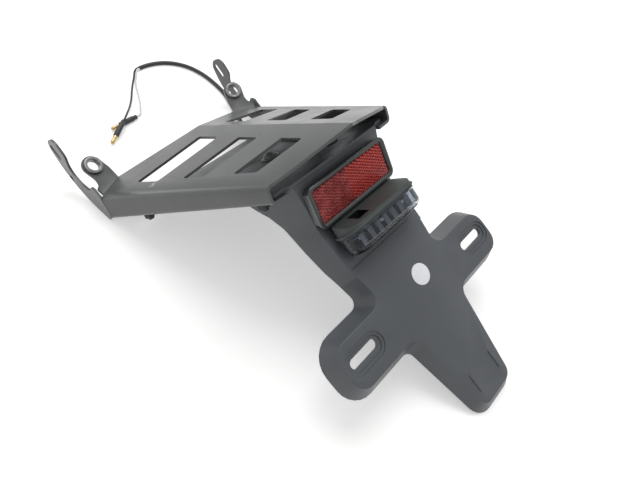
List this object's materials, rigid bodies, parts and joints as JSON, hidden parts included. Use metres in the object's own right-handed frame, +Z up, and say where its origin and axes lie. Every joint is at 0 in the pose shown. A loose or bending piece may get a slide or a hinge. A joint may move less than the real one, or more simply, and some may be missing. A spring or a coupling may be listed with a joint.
{
  "type": "motorbike tail tidy",
  "caption": "Folded sheet tray with lugs and arms, a moulded plate hanger, red reflector and plate light with its cable, for holding a motorbike's rear plate under its tail.",
  "frame": {"origin": "middle of the part's footprint on the surface it stands on, the cable and plugs left out", "axes": "+X towards the bike's right side, +Y forward along the bike, +Z up as the part stands on a table; X = 0 is the mirror plane"},
  "size_m": [0.2002, 0.4971, 0.1525],
  "materials": {
    "tray_paint": "satin",
    "bush_metal": "satin",
    "hanger_plastic": "satin",
    "bolt_black": "satin",
    "zinc": "satin",
    "housing_gloss": "gloss",
    "lens_red": "gloss",
    "hood_plastic": "gloss",
    "gasket_rubber": "matte",
    "lens_clear": "gloss",
    "board": "matte",
    "lamp": "gloss",
    "disc_white": "satin",
    "sleeve_black": "satin",
    "wire_white_skin": "satin",
    "shroud_skin": "satin",
    "plug_brass": "satin"
  },
  "bodies": {
    "root": {"tray": "tray_paint", "lug_bushes": "bush_metal", "hanger": "hanger_plastic", "plate_bolts": "bolt_black", "plate_washers": "zinc", "plate_nuts": "zinc", "mid_bolt": "zinc", "mid_washers": "zinc", "mid_nut": "zinc", "reflector_housing": "housing_gloss", "reflector_lens": "lens_red", "reflector_stud": "zinc", "reflector_washer": "zinc", "reflector_nut": "zinc", "light_hood": "hood_plastic", "light_gasket": "gasket_rubber", "light_cover": "lens_clear", "light_board": "board", "light_lamps": "lamp", "light_screws": "zinc", "light_washers": "zinc", "cable_grommet": "gasket_rubber", "label_disc": "disc_white", "cable_sleeve": "sleeve_black", "wire_black": "sleeve_black", "wire_white": "wire_white_skin", "shroud_black": "shroud_skin", "shroud_white": "shroud_skin", "plug_black": "plug_brass", "plug_white": "plug_brass"}
  },
  "joints": []
}
